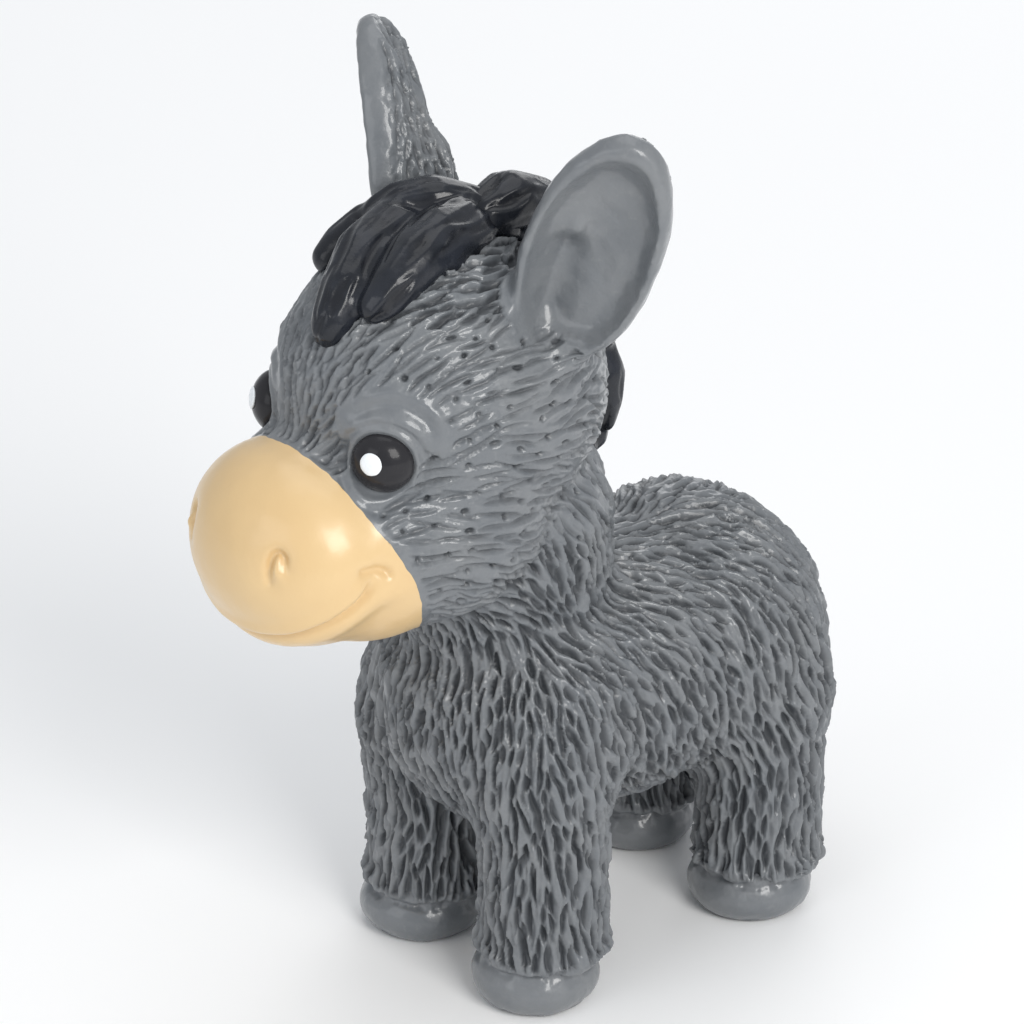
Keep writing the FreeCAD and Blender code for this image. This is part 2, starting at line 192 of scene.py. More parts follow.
def set_points(piece, points):
    """Writes vertex places given in mm."""
    piece.data.vertices.foreach_set("co", (points * MM).astype(np.float32).ravel())
    piece.data.update()


def normals_of(piece):
    """Vertex normals."""
    return read(piece.data.vertices, "normal").astype(float)


def edges_of(piece):
    """The two vertices of each edge."""
    return read(piece.data.edges, "vertices", np.int64, 2)


def add_attribute(piece, name, kind, key, values):
    """A value on every vertex."""
    attribute = piece.data.attributes.new(name, kind, "POINT")
    attribute.data.foreach_set(key, values.astype(np.float32).ravel())


def relax(values, ends, rounds, weight=1.0):
    """Averages values over the mesh's edges, each point by its own weight."""
    count = len(values)
    a, b = ends[:, 0], ends[:, 1]
    share = np.bincount(a, minlength=count) + np.bincount(b, minlength=count)
    weight = 0.6 * np.broadcast_to(weight, count)
    values = values.reshape(count, -1).copy()
    for _ in range(rounds):
        for axis in range(values.shape[1]):
            line = values[:, axis]
            near = np.bincount(a, line[b], count) + np.bincount(b, line[a], count)
            values[:, axis] = line + weight * (near / share - line)
    return values


def step(low, high, x):
    """0 at low, 1 at high, smooth between; low may be the larger."""
    t = np.clip((x - low) / (high - low), 0, 1)
    return t * t * (3 - 2 * t)


def bump(x):
    """A soft hump, 1 at 0 and 0 beyond about 2."""
    return np.exp(-np.square(x))


def unit(v):
    """The same directions, one long."""
    return v / np.maximum(np.linalg.norm(v, axis=-1, keepdims=True), 1e-9)


def dots(a, b):
    """The dot product, row by row."""
    return np.einsum("ij,ij->i", a, b)


def far_from(points, place):
    """Each point's distance from a place."""
    return np.linalg.norm(points - place, axis=1)


def flattened(ways, normals):
    """The same ways, turned to lie along the surface."""
    ways -= dots(ways, normals)[:, None] * normals
    return unit(ways)


def ripple(points, size, seed):
    """Smooth noise from -1 to 1 at each point, with lumps about size mm across."""
    rng = np.random.default_rng(seed)
    total = np.zeros(len(points))
    for _ in range(14):
        way = unit(rng.normal(size=3)) * (2 * math.pi / size) * rng.uniform(0.55, 1.5)
        total += np.sin(points @ way + rng.uniform(0, 2 * math.pi))
    return np.clip(total / 5.0, -1, 1)


def rounded(path):
    """The path with its corners cut twice, its ends kept."""
    for _ in range(2):
        early, late = 0.75 * path[:-1] + 0.25 * path[1:], 0.25 * path[:-1] + 0.75 * path[1:]
        path = np.concatenate([path[:1], np.stack([early, late], 1).reshape(-1, 3), path[-1:]])
    return path


def along(points, path):
    """Each point's distance from a rounded path, its share of the way along, its offset and the way there."""
    path = rounded(np.array(path, float))
    best = np.full(len(points), 1e9)
    share = np.zeros(len(points))
    offset = np.zeros((len(points), 3))
    way = np.zeros((len(points), 3))
    lengths = np.linalg.norm(np.diff(path, axis=0), axis=1)
    before = np.concatenate([[0], np.cumsum(lengths)])
    for k, (start, end) in enumerate(zip(path[:-1], path[1:])):
        run = (end - start) / lengths[k]
        t = np.clip((points - start) @ run, 0, lengths[k])
        apart = points - start - t[:, None] * run
        far = np.linalg.norm(apart, axis=1)
        nearer = far < best
        best[nearer] = far[nearer]
        share[nearer] = ((before[k] + t) / before[-1])[nearer]
        offset[nearer] = apart[nearer]
        way[nearer] = run
    return best, share, offset, way


# ---------------------------------------------------------------- the coat's form

# places are on the toy's left half; the right half mirrors them
EYE = np.array([12.75, -37.0, 101.2])
EYE_OUT = unit(np.array([0.62, -0.78, -0.05]))
EYE_ROUND, EYE_TALL, EYE_DEEP = 4.75, 3.4, 2.4
SPOT = np.array([15.0, -41.5, 102.2])
SPOT_ROUND, SPOT_TALL, SPOT_DEEP, SPOT_SUNK = 1.72, 0.42, 0.6, 0.10
MUZZLE_AT = np.array([0.0, -44.5, 99.5])
MUZZLE_OUT = np.array([0.0, -0.9063, -0.4226])
MUZZLE_LOWEST, NOT_MUZZLE = 62, -50
SQUEAKER_Y = 15.8
EAR_AT = np.array([24.4, -7.5, 130.0])
EAR_TURN = np.array(
    (
        Matrix.Rotation(math.radians(20), 3, "Y")
        @ Matrix.Rotation(math.radians(-8), 3, "X")
        @ Matrix.Rotation(math.radians(38), 3, "Z")
    )
)
EAR_HALF = (10.2, 7.2, 21)

MOUTH = (
    (18.3, -43.5, 85.7), (18.0, -45.0, 83.2), (16.8, -47.8, 80.8), (14.1, -50.5, 78.3),
    (10.9, -52.3, 76.4), (6.5, -53.6, 75.1), (1.9, -54.3, 74.3), (-2.0, -54.5, 74.2),
)
DIMPLE = ((18.1, -45.0, 87.1), (18.1, -42.8, 87.1), (18.5, -41.4, 86.4), (19.1, -40.4, 85.0))
NOSTRIL = (
    (9.7, -56.4, 86.0), (9.4, -56.2, 88.3), (9.6, -55.7, 90.0),
    (10.2, -55.0, 90.7), (11.2, -54.6, 90.1), (11.6, -54.7, 88.4),
)
LID = (
    (8.4, -41.3, 104.6), (10.2, -40.0, 106.8), (13.5, -37.2, 108.3), (16.8, -34.2, 107.0), (18.4, -32.9, 104.4),
)
BROW = (
    (9.4, -39.5, 109.6), (11.6, -37.6, 111.8), (14.2, -34.9, 112.5), (17.9, -31.9, 109.7), (19.9, -30.6, 106.0),
)
ARCH = (
    (8.9, -40.4, 107.1), (10.9, -38.8, 109.3), (13.9, -36.1, 110.4), (17.4, -33.1, 108.4), (19.2, -31.8, 105.2),
)
CHEEK_END, NOSTRIL_WING = np.array([18.9, -41.0, 83.0]), np.array([10.7, -55.4, 87.8])
EAR_FOLD = ((18.9, -11.5, 116.8), (19.2, -9.8, 122.9), (20.5, -8.9, 129.5))
EAR_CREASE = ((20.5, -8.9, 129.5), (22.2, -8.2, 130.6), (23.8, -7.2, 133.8))
EAR_LOBE = np.array([21.8, -8.0, 133.2])

PLUG_SIDES, PLUG_RADIUS, PLUG_DEPTH, PLUG_HEIGHT = 64, 9.0, 5.4, 26.4
COAT_GRAIN = 0.62
MELT_ROUNDS, REGAIN_ROUNDS, REGAIN = 55, 90, 0.9
BOWL_ROUNDS = 70
HOOF_EDGE = 7.3


def muzzle_side(side):
    """How far each place is in front of the muzzle's edge; far behind it for the body."""
    return np.where(side[:, 2] > MUZZLE_LOWEST, (side - MUZZLE_AT) @ MUZZLE_OUT, NOT_MUZZLE)


def ear_place(side):
    """Places in the left ear's own frame."""
    return (side - EAR_AT) @ EAR_TURN


def mirrored(points):
    """The same places on the toy's left half."""
    folded = points.copy()
    folded[:, 0] = np.abs(folded[:, 0])
    return folded


def handed(points):
    """What turns a direction on the left half into the one at each point."""
    return np.where(points[:, :1] < 0, (-1, 1, 1), (1, 1, 1))


def coat_form():
    """One closed form from the frame's skin: plugged, remeshed, its joints melted, then refined."""
    form = node_copy("skin", "coat_form")
    plug = add_cylinder(PLUG_SIDES, PLUG_RADIUS, PLUG_DEPTH, PLUG_HEIGHT)
    pick(form, plug)
    bpy.ops.object.join()
    form = melt_into_one(form, "coat_form", COAT_GRAIN)
    points, ends = points_of(form), edges_of(form)
    side = mirrored(points)
    in_ear = step(112, 118, side[:, 2]) * step(13, 17, side[:, 0])
    soft = 1 - 0.80 * in_ear
    soft *= 0.08 + 0.92 * step(8.0, 12.0, side[:, 2])
    soft *= 1 - 0.5 * step(-2, 3, muzzle_side(side))
    melted = relax(points, ends, MELT_ROUNDS, soft)
    lost = relax(points - melted, ends, REGAIN_ROUNDS)
    set_points(form, melted + REGAIN * lost)
    apply_modifier(form, "SUBSURF", levels=1, render_levels=1)
    return form


def ends_fade(share):
    """0 at both ends of a line, 1 between."""
    return step(0.0, 0.2, share) * step(1.0, 0.8, share)


def model_mouth(move, side, facing):
    """The smile with its two lips, the dimple at its end, and the nostril."""
    far, share, offset, way = along(side, MOUTH)
    above = dots(offset, np.cross(way, facing))
    fade = step(0.0, 0.10, share) * 0.75 + 0.25
    lips = 0.55 * bump((above - 1.5) / 1.3) + 0.55 * bump((above + 2.4) / 1.9)
    move += np.where(far < 9, fade * lips, 0)
    move -= 1.05 * fade * bump(far / 0.75)
    far, share, _, _ = along(side, DIMPLE)
    move -= 0.75 * bump(far / 0.7) * step(1.0, 0.7, share) + 0.2 * bump(far / 1.8)
    move += 0.5 * bump(far_from(side, CHEEK_END) / 2.6)
    far, share, _, _ = along(side, NOSTRIL)
    move -= 0.95 * bump(far / 0.62) * (0.35 + 0.65 * step(0.0, 0.35, share) * step(1.0, 0.8, share))
    move -= 0.25 * bump(far / 1.6)
    move += 0.45 * bump(far_from(side, NOSTRIL_WING) / 1.1)


def model_brow(move, side, muzzle):
    """The rim round the eye, the lid and the brow over it, and the hollow between them."""
    eye = side - EYE
    height = eye @ EYE_OUT
    ring = np.sqrt(np.maximum(dots(eye, eye) - height**2, 0))
    close = (height > -6) & (height < 8)
    rim = 0.42 * bump((ring - 5.3) / 0.55) - 0.25 * bump((ring - 6.3) / 0.5)
    move += np.where(close, rim, 0) * (1 - step(-1.5, 0.2, muzzle))
    for line, rise, wide in ((LID, 0.5, 1.0), (BROW, 0.4, 1.1), (ARCH, -0.4, 0.9)):
        far, share, _, _ = along(side, line)
        move += rise * bump(far / wide) * ends_fade(share)


def hollow_ears(form, points, side, facing):
    """The points with a smooth bowl sunk in the front of each ear."""
    ear = ear_place(side)
    round_ear = np.hypot(ear[:, 0] / EAR_HALF[0], ear[:, 2] / EAR_HALF[2])
    front = ((facing @ EAR_TURN)[:, 1] < -0.1) & (round_ear < 1) & (side[:, 2] > 116) & (ear[:, 1] > -8)
    hollow = np.where(front, 1.4 * step(0.97, 0.80, round_ear) * step(0.40, 0.75, round_ear), 0)
    points = points + hollow[:, None] * (handed(points) * EAR_TURN[:, 1])
    bowl = np.where(front, step(0.985, 0.90, round_ear), 0)[:, None]
    return points + bowl * (relax(points, edges_of(form), BOWL_ROUNDS, 0.5) - points)


def model_ears(move, side):
    """The fold inside each ear, the crease that it ends in and the lobe beside it."""
    far, share, _, _ = along(side, EAR_FOLD)
    move -= 2.0 * bump(far / 2.5) * (0.4 + 0.6 * step(0.0, 0.3, share))
    far, _, _, _ = along(side, EAR_CREASE)
    move -= 0.6 * bump(far / 0.7)
    move += 0.75 * bump(far_from(side, EAR_LOBE) / 1.9)


def model_hems(move, points, normals):
    """The swollen hem of the coat over each hoof, and the groove under it."""
    z = points[:, 2]
    upright = 1 - step(0.5, 0.9, np.abs(normals[:, 2]))
    edge = HOOF_EDGE + 0.5 * ripple(points, 3.0, 9)
    hem = 0.6 * bump((z - edge - 1.9) / 1.4) - 0.9 * bump((z - edge + 0.1) / 0.55)
    move += np.where(z < 16, hem * upright * (1 + 0.5 * ripple(points, 5, 8)), 0)
    move[z < 0.4] = 0


def sculpt(form):
    """Mouth, nostrils, brows, eye rims, ears, hooves and a hand-made unevenness."""
    points, normals = points_of(form), normals_of(form)
    side, facing = mirrored(points), normals * handed(points)
    muzzle = muzzle_side(side)
    move = 0.16 * ripple(points, 9, 3) + 0.06 * ripple(points, 3.2, 5)
    move *= 1 - 0.75 * step(-1, 1, muzzle)
    model_mouth(move, side, facing)
    model_brow(move, side, muzzle)
    points = hollow_ears(form, points, side, facing)
    model_ears(move, side)
    model_hems(move, points, normals)
    set_points(form, points + normals * move[:, None])


# ---------------------------------------------------------------- the combed coat

# place on the left half, and the way the coat is combed there
COMBED = (
    ((0, -40, 112), (0, 0.55, 0.85)), ((10, -36, 112), (0.35, 0.6, 0.7)),
    ((18, -33, 104), (0.2, 0.95, 0.25)), ((22, -20, 100), (0, 1, -0.05)),
    ((20, -30, 88), (0.1, 1, -0.1)), ((22, -18, 86), (0, 0.95, -0.35)),
    ((14, -22, 72), (0, 0.85, -0.5)), ((20, -8, 118), (0.1, 0.75, 0.6)),
    ((23, -12, 108), (0, 1, 0.1)), ((8, -26, 124), (0.5, 0.7, 0.3)),
    ((16, 5, 100), (0, 0.8, -0.6)), ((15, 12, 85), (0, 0.5, -0.85)),
    ((18, 0, 72), (0, 0.3, -0.95)), ((0, -30, 62), (0, -0.1, -1)),
    ((12, -22, 52), (0.05, 0, -1)), ((24, -5, 45), (0, 0.15, -1)),
    ((24, 15, 45), (0, 0.25, -0.95)), ((24, 32, 45), (0, 0.3, -0.95)),
    ((20, 50, 45), (0, 0.2, -1)), ((0, 56, 50), (0, 0.1, -1)),
    ((0, 15, 68), (0.15, 1, 0)), ((8, 30, 68), (0.25, 0.8, -0.5)),
    ((18, 10, 60), (0.05, 0.5, -0.85)), ((18, 28, 62), (0.1, 0.5, -0.85)),
    ((14, 18, 65), (0.1, 0.6, -0.75)),
    ((22, 20, 54), (0, 0.4, -0.9)), ((22, 36, 56), (0, 0.4, -0.9)),
    ((14, 42, 60), (0.4, 0.6, -0.6)), ((14, 5, 66), (0.15, 0.7, -0.7)),
    ((20, -8, 25), (0.02, 0.05, -1)), ((8, -8, 25), (0, 0.05, -1)),
    ((20, 37, 25), (0.02, 0.1, -1)), ((8, 37, 25), (0, 0.1, -1)),
    ((14, -8, 10), (0, 0, -1)), ((14, 37, 10), (0, 0, -1)),
    ((0, 16, 24), (0, 1, 0)), ((18, -2, 128), (0.34, 0.13, 0.93)),
    ((28, -4, 132), (0.34, 0.13, 0.93)), ((30, 0, 142), (0.34, 0.13, 0.93)),
)

# A kind of cut. Its length, width and depth come from ranges by region, "rest" for everywhere else. Each
# cut keeps an ellipse clear round it, whose half length and half width are a start and a share of its own.
# Its wall is how gently it begins, its lip how high its edges swell, and its lean how one-sided it is.
Cuts = namedtuple("Cuts", "long wide deep clear_long clear_wide seed tries wall lip lean", defaults=(0.0,))
# What is cut: points, outward normals, the combed ways and their crosses, and the points' search tree
Pelt = namedtuple("Pelt", "points normals ways crosses tree")

# broad soft furrows between the strands
FURROWS = Cuts(
    {"rest": (8, 14)}, {"rest": (1.8, 2.8)}, {"rest": (0.35, 0.65)}, (0, 0.62), (0, 0.78), 31, 26000, 0.8, 0.55
)
# deep pits with one steep side
PITS = Cuts(
    {"back": (3.4, 7.0), "leg": (3.8, 9.0), "rest": (3.4, 8.0), "fine": (2.6, 5.0)},
    {"back": (0.6, 1.1), "fine": (0.6, 1.05), "rest": (0.7, 1.45)},
    {"back": (0.8, 1.25), "fine": (0.55, 0.95), "rest": (0.9, 1.5)},
    (0, 0.64), (0.80, 0.58), 41, 90000, 0.2, 0.2, 0.7,
)
# long thin lines, closer together on the cheeks
LINES = Cuts(
    {"cheek": (6, 12), "rest": (4, 8)},
    {"cheek": (0.5, 0.8), "rest": (0.4, 0.7)},
    {"cheek": (0.35, 0.6), "rest": (0.2, 0.4)},
    (0, 0.66), (1.3, 0), 51, 40000, 0.2, 0.4,
)
LINES_APART_ON_CHEEK = 1.25
# short deep dots on the cheeks
DOTS = Cuts(
    {"rest": (0.9, 2.6)}, {"rest": (0.45, 0.95)}, {"rest": (0.6, 1.1)}, (1.2, 1.6), (1.0, 2.2), 61, 1500, 0.25, 0
)


def combing(points, normals):
    """The way the coat is combed at each point, along the surface."""
    side = mirrored(points)
    total = np.zeros_like(points)
    for place, way in COMBED:
        offset = side - np.array(place, float)
        pull = 1 / np.square(dots(offset, offset) + 20)
        total += pull[:, None] * unit(np.array(way, float))
    total = unit(total * handed(points))
    for axis, (sway, size, seed) in enumerate(((0.22, 16, 21), (0.22, 15, 22), (0.16, 14, 23))):
        total[:, axis] += sway * ripple(points, size, seed)
    return flattened(total, normals)


def pelt_of(points, normals, ways):
    """A pelt with its crosses and its search tree."""
    tree = kdtree.KDTree(len(points))
    for i, point in enumerate(points):
        tree.insert(point, i)
    tree.balance()
    return Pelt(points, normals, ways, unit(np.cross(normals, ways)), tree)


def crowded(taken, key, place, way, cross, long_room, wide_room, reach):
    """Whether a place that is taken lies in the ellipse that this one keeps clear."""
    x, y, z = place
    ax, ay, az = way
    bx, by, bz = cross
    i, j, k = key
    for di, dj, dk in product((-1, 0, 1), repeat=3):
        for qx, qy, qz in taken.get((i + di, j + dj, k + dk), ()):
            rx, ry, rz = qx - x, qy - y, qz - z
            run = rx * ax + ry * ay + rz * az
            off = rx * bx + ry * by + rz * bz
            inside = run * run * long_room + off * off * wide_room < 1
            if inside and rx * rx + ry * ry + rz * rz < reach * reach:
                return True
    return False


def lay_cuts(pelt, allowed, length, width, seed, tries):
    """Picks places for cuts so that each keeps its own length and width clear."""
    rng = np.random.default_rng(seed)
    room = np.flatnonzero(allowed)
    picks = rng.choice(room, size=min(tries, len(room)), replace=False)
    cell = float(np.max(length[picks]))
    taken, laid = {}, []
    for i in picks:
        x, y, z = pelt.points[i]
        key = (int(x // cell), int(y // cell), int(z // cell))
        long_room, wide_room = 1 / length[i] ** 2, 1 / width[i] ** 2
        if not crowded(taken, key, (x, y, z), pelt.ways[i], pelt.crosses[i], long_room, wide_room, cell):
            taken.setdefault(key, []).append((x, y, z))
            laid.append(i)
    return np.array(laid, int)


def carve(pelt, laid, length, width, depth, kind):
    """Lens-shaped, slightly bent cuts along the comb: how deep every point is cut, and how far raised."""
    points, normals, ways, crosses, tree = pelt
    rng = np.random.default_rng(kind.seed + 1)
    cut, lift = np.zeros(len(points)), np.zeros(len(points))
    for i in laid:
        long, wide, deep = length[i], width[i], depth[i]
        half = long / 2
        hits = tree.find_range(points[i], half + 0.6)
        index = np.fromiter((h[1] for h in hits), int, len(hits))
        rel = points[index] - points[i]
        u = (rel @ ways[i]) / half
        bend, slant = rng.uniform(-0.11, 0.11), rng.uniform(-0.16, 0.16)
        v = rel @ crosses[i] + bend * long * (1 - u * u) + slant * u * half
        inside = np.clip(1 - u * u, 0, 1)
        edge = 0.5 * wide * inside
        rim = kind.wall * (0.35 + 0.65 * inside)
        front = normals[index] @ normals[i] > 0.25
        steep = 1 if rng.random() < 0.8 else -1
        slope = 1 - kind.lean * np.clip((v * steep + edge) / (2 * edge + 0.01), 0, 1)
        pit = deep * inside**0.4 * step(edge + rim, edge - rim, np.abs(v)) * slope * front
        ridge = kind.lip * deep * inside * bump((np.abs(v) - edge - rim - 0.12) / 0.34) * front
        cut[index] = np.maximum(cut[index], pit)
        lift[index] = np.maximum(lift[index], ridge)
    return cut, lift


def by_region(rng, count, ranges, regions):
    """A random size for every point, out of its own region's range."""
    sizes = {name: rng.uniform(low, high, count) for name, (low, high) in ranges.items()}
    chosen = sizes.pop("rest")
    for name, size in sizes.items():
        chosen = np.where(regions[name], size, chosen)
    return chosen


def make_cuts(pelt, rng, allowed, kind, regions=None):
    """Lays and carves one kind of cut where it is allowed."""
    count = len(pelt.points)
    long, wide, deep = (by_region(rng, count, r, regions) for r in (kind.long, kind.wide, kind.deep))
    clear_long = kind.clear_long[0] + kind.clear_long[1] * long
    clear_wide = kind.clear_wide[0] + kind.clear_wide[1] * wide
    laid = lay_cuts(pelt, allowed, clear_long, clear_wide, kind.seed, kind.tries)
    return carve(pelt, laid, long, wide, deep, kind)


def comb_coat(form):
    """Cuts the coat: broad soft furrows first, then the pits, lines and dots between its strands."""
    points, normals = points_of(form), normals_of(form)
    side = mirrored(points)
    x, y, z = side.T
    muzzle = muzzle_side(side)
    eye_far = np.linalg.norm(side - EYE - 2.5 * EYE_OUT, axis=1)
    lid_far, brow_far, arch_far = (along(side, line)[0] for line in (LID, BROW, ARCH))
    plug_far = np.hypot(points[:, 0], points[:, 1] - SQUEAKER_Y)
    ear = ear_place(side)
    in_ear = (np.square(ear / EAR_HALF).sum(axis=1) < 1.35) & (ear[:, 2] > -15)
    ear_back = ((normals * handed(points)) @ EAR_TURN)[:, 1]

    # places without cuts
    bare = (muzzle > -1.7) | (in_ear & (ear_back < 0.12)) | (z < 8.2) | ((plug_far < 11) & (z < 32))
    bare |= (eye_far < 6.4) | (lid_far < 2.2) | (brow_far < 1.3) | (arch_far < 2.6)
    kept = (1 - step(-1.5, -0.5, muzzle)) * step(5.2, 6.2, eye_far) * step(7.6, 8.6, z)
    kept = kept * step(0.8, 1.6, lid_far) * step(1.9, 2.9, arch_far)
    kept = np.where(in_ear, kept * step(0.2, 0.6, ear_back) * step(-0.5, 1.5, ear[:, 1]), kept)

    head = ((z > 78) & (y < 12)) | ((z > 70) & (y < -20))
    face = head & ~in_ear & (z < 121)
    cheek = face & (x > 9)
    back = (z > 55) & (normals[:, 2] > 0.45) & (y > 0) & ~head
    regions = {"back": back, "leg": z < 26, "fine": in_ear | (face & ~cheek), "cheek": cheek}

    pelt = pelt_of(points, normals, combing(points, normals))
    rng = np.random.default_rng(11)
    lines = LINES._replace(clear_wide=(np.where(cheek, LINES_APART_ON_CHEEK, LINES.clear_wide[0]), 0))
    furrow, swell = make_cuts(pelt, rng, ~bare, FURROWS, regions)
    pit, pit_lip = make_cuts(pelt, rng, ~bare & ~cheek, PITS, regions)
    line, line_lip = make_cuts(pelt, rng, ~bare, lines, regions)
    dot, _ = make_cuts(pelt, rng, ~bare & cheek, DOTS, regions)

    cut = np.maximum(np.maximum(pit, dot), line)
    lift = np.where(cut > 0.15, 0, np.maximum(pit_lip, line_lip))
    furrow, swell = np.where(cheek, 0.55, 1) * furrow, np.where(cheek, 0.55, 1) * swell
    move = relax(kept * (-furrow + swell * 0.6 - cut + lift), edges_of(form), 1, 0.35)[:, 0]
    set_points(form, points + normals * move[:, None])
    # groove: cut depth plus a share of the broad furrows; the finishes colour the cuts darker by it as painted shade,
    # and make them rougher
    dark = kept * (np.clip(cut / 0.95, 0, 1) * 0.85 + np.clip(furrow, 0, 0.6) * 0.25)
    add_attribute(form, "groove", "FLOAT", "value", np.clip(dark, 0, 1))
    add_attribute(form, "skin_normal", "FLOAT_VECTOR", "vector", normals_of(form))


# ---------------------------------------------------------------- parting the coat into pieces

HEAD_CUT, HEAD_WAY = (0, -5, 75), (0, -0.5, 0.866)
WAIST_FRONT, WAIST_BACK, BACKWARD = (0, 4.0, 40), (0, 25.3, 40), (0, 1, 0)
SEAM, RIGHTWARD = (0, 0, 0), (-1, 0, 0)
# radius, low end and high end of the flange's seat and the cup's bore
SEAT = ((8.06, 18.0, 24.95), (6.06, 24.0, 34.9))
SEAT_SIDES = 96


def cut_off(piece, name, place, way):
    """Splits a closed piece by a plane, closing both cuts: the new piece is on the side way points to."""
    other = add_object(name, piece.data.copy())
    for each, inner in ((piece, False), (other, True)):
        with editing(each):
            bpy.ops.mesh.bisect(
                plane_co=Vector(place) * MM, plane_no=Vector(way), use_fill=True,
                clear_inner=inner, clear_outer=not inner, threshold=1e-7,
            )
    return other


def wave_edge(piece, way):
    """Shifts a piece along the muzzle's normal, unevenly, so that a flat cut leaves a hand-painted edge."""
    points = points_of(piece)
    flat = points - (points @ MUZZLE_OUT)[:, None] * MUZZLE_OUT
    shift = 0.35 * ripple(flat, 11, 71) + 0.12 * ripple(flat, 2.6, 72)
    set_points(piece, points + way * shift[:, None] * MUZZLE_OUT)


def keep_normals(piece):
    """Gives the piece the whole coat's normals, so that its cuts don't show."""
    mesh = piece.data
    stored = unit(read(mesh.attributes["skin_normal"].data, "vector").astype(float))
    corner = read(mesh.loops, "vertex_index", np.int64, 1)[:, 0]
    sizes = read(mesh.polygons, "loop_total", np.int64, 1)[:, 0]
    face_normal = np.repeat(read(mesh.polygons, "normal"), sizes, axis=0)
    wanted = stored[corner]
    agrees = dots(wanted, face_normal) > 0.2
    small = np.repeat(sizes < 9, sizes)
    wanted[~(agrees & small)] = 0
    mesh.attributes.remove(mesh.attributes["skin_normal"])
    pick(piece)
    bpy.ops.object.shade_smooth()
    mesh.normals_split_custom_set(wanted.tolist())


def squeaker_seat(piece):
    """Opens the belly for the squeaker: a shallow step for its flange and a bore for its cup."""
    cutters = [add_cylinder(SEAT_SIDES, radius, high - low, (low + high) / 2) for radius, low, high in SEAT]
    for cutter in cutters:
        apply_modifier(piece, "BOOLEAN", operation="DIFFERENCE", solver="MANIFOLD", object=cutter)
        bpy.data.objects.remove(cutter)


def part_coat(form):
    """The finished coat as pieces: muzzle, head, chest, waist and rump."""
    head = cut_off(form, "head_left", HEAD_CUT, HEAD_WAY)
    wave_edge(head, 1)
    muzzle = cut_off(head, "muzzle", MUZZLE_AT, MUZZLE_OUT)
    wave_edge(head, -1)
    wave_edge(muzzle, -1)
    waist = cut_off(form, "waist", WAIST_FRONT, BACKWARD)
    rump = cut_off(waist, "rump_left", WAIST_BACK, BACKWARD)
    head_right = cut_off(head, "head_right", SEAM, RIGHTWARD)
    chest_right = cut_off(form, "chest_right", SEAM, RIGHTWARD)
    rump_right = cut_off(rump, "rump_right", SEAM, RIGHTWARD)
    form.name = "chest_left"
    squeaker_seat(waist)
    coat = [head, head_right, form, chest_right, waist, rump, rump_right]
    for piece in coat + [muzzle]:
        keep_normals(piece)
    for piece in coat:
        finish_piece(piece, GREY, "latex_grey", "skin")
    finish_piece(muzzle, CREAM, "latex_cream", "muzzle_coat")


def finish_piece(piece, finish, slot, *replaced):
    """Material and body for the piece, and hides the frame nodes that it stands for. The slot argument is not used."""
    paint(piece, finish)
    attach(piece, TOY)
    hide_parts(*replaced)


def paint(piece, finish):
    """Gives a piece one material."""
    piece.data.materials.clear()
    piece.data.materials.append(finish)


# ---------------------------------------------------------------- hair

# locks of hair: each a run of balls, by place and radius
FORELOCK = (
    ((1.5, -6.5, 126.2, 3.8), (-1.7, -10, 128.4, 4.4), (-4.4, -14, 129.8, 4.6), (-7.0, -17.5, 129.2, 4.4),
     (-8.8, -20.0, 127.8, 3.8)),
    ((-5.0, -21, 127.4, 4.8), (-3.4, -27.4, 125.8, 4.9), (-0.6, -33.0, 122.6, 4.4), (0.6, -36.6, 119.6, 3.5),
     (0.7, -37.9, 117.9, 2.7)),
    ((1.0, -14, 128.0, 4.6), (2.6, -18.8, 127.8, 5.0), (4.2, -24.0, 126.4, 5.0), (5.4, -28.6, 124.4, 4.2),
     (5.7, -31.6, 122.8, 3.2), (5.5, -32.8, 121.9, 2.7)),
    ((0.5, -9.5, 127.0, 3.8), (3.3, -13.0, 127.2, 3.7), (4.6, -16.6, 127.0, 3.4), (5.8, -20.4, 126.2, 3.0)),
    ((-8.0, -17, 127.8, 3.8), (-11.0, -21.3, 126.0, 3.7), (-12.5, -25.0, 123.6, 3.3), (-12.9, -27.2, 121.8, 2.8)),
    ((-4, -10, 127.2, 4.2), (-8.6, -12, 126.4, 3.6), (-11.6, -15.6, 124.8, 2.8), (-13.2, -18.6, 122.8, 2.0)),
)
MANE_ROUTE = (
    (-6.5, 128.6), (-1.0, 128.6), (5.4, 123.6), (10.4, 114.6), (12.6, 107.0), (13.2, 99.2), (12.8, 92.0), (12.6, 85.6),
)
MANE_ROOT = (
    (-6.0, 126.0), (1.0, 121.8), (4.6, 116.6), (7.4, 110.6), (8.6, 104.0), (8.6, 97.0), (8.8, 90.5), (10.4, 85.6),
)
TUFT = (
    ((0, 54.6, 39.2, 2.6), (0, 55.4, 35.6, 3.4), (0, 55.4, 31.6, 3.0), (0.2, 55.0, 28.6, 1.9), (0.4, 54.8, 27.4, 1.0)),
    ((1.0, 54.6, 37.0, 2.4), (1.9, 55.2, 33.6, 2.2), (1.9, 55.0, 30.6, 1.4), (1.6, 54.8, 29.2, 0.8)),
    ((-1.0, 54.6, 37.4, 2.4), (-1.8, 55.6, 34.2, 2.3), (-1.9, 55.6, 31.4, 1.5), (-1.8, 55.4, 29.8, 0.8)),
    ((0.2, 55.4, 37.6, 2.4), (0.5, 56.8, 34.6, 2.0), (0.3, 57.0, 31.8, 1.3)),
)
BALLS_APART = 0.7


